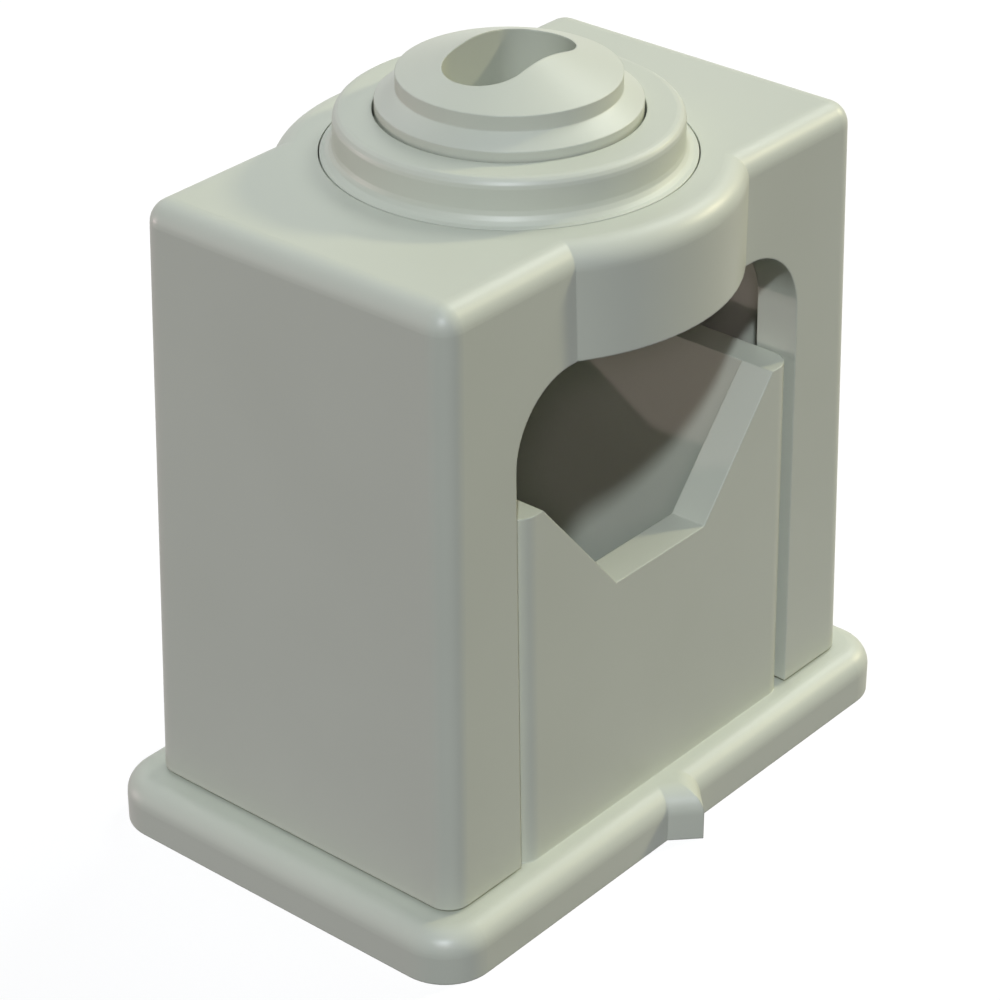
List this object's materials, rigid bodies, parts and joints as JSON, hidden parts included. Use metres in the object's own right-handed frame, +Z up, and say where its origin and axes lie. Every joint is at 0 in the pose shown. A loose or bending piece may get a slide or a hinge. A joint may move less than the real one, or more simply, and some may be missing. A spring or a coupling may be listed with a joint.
{
  "type": "cable clamp",
  "caption": "Moulded plastic cable clamp: a cap over a hollow V cradle on a base plate, with a clamp screw that presses a saddle on the cable.",
  "frame": {"origin": "centre of the base plate's underside, on the clamp screw's axis", "axes": "+X along the base plate's long side, +Y along the cable passage towards the rear, +Z up along the clamp screw"},
  "size_m": [0.045, 0.0322, 0.0493],
  "materials": {
    "grey_plastic": "smooth satin moulding"
  },
  "bodies": {
    "base": {"base_cradle": "grey_plastic"},
    "cap": {"cap": "grey_plastic", "screw_bush": "grey_plastic"},
    "saddle": {"pressure_saddle": "grey_plastic"},
    "screw": {"clamp_screw": "grey_plastic"}
  },
  "joints": [
    {"name": "cap_lift", "type": "slide", "parent": "base", "child": "cap", "axis": [0, 0, 1], "range_m": [0, 0.026]},
    {"name": "saddle_slide", "type": "slide", "parent": "cap", "child": "saddle", "axis": [0, 0, 1], "range_m": [-0.005, 0]},
    {"name": "screw_turn", "type": "hinge", "parent": "saddle", "child": "screw", "pos_m": [0, 0, 0.0358], "axis": [0, 0, 1], "range_deg": [-720, 0]}
  ],
  "couplings": [
    {"joint": "screw_turn", "follows": "saddle_slide", "rad_per_m": 2513.3}
  ]
}
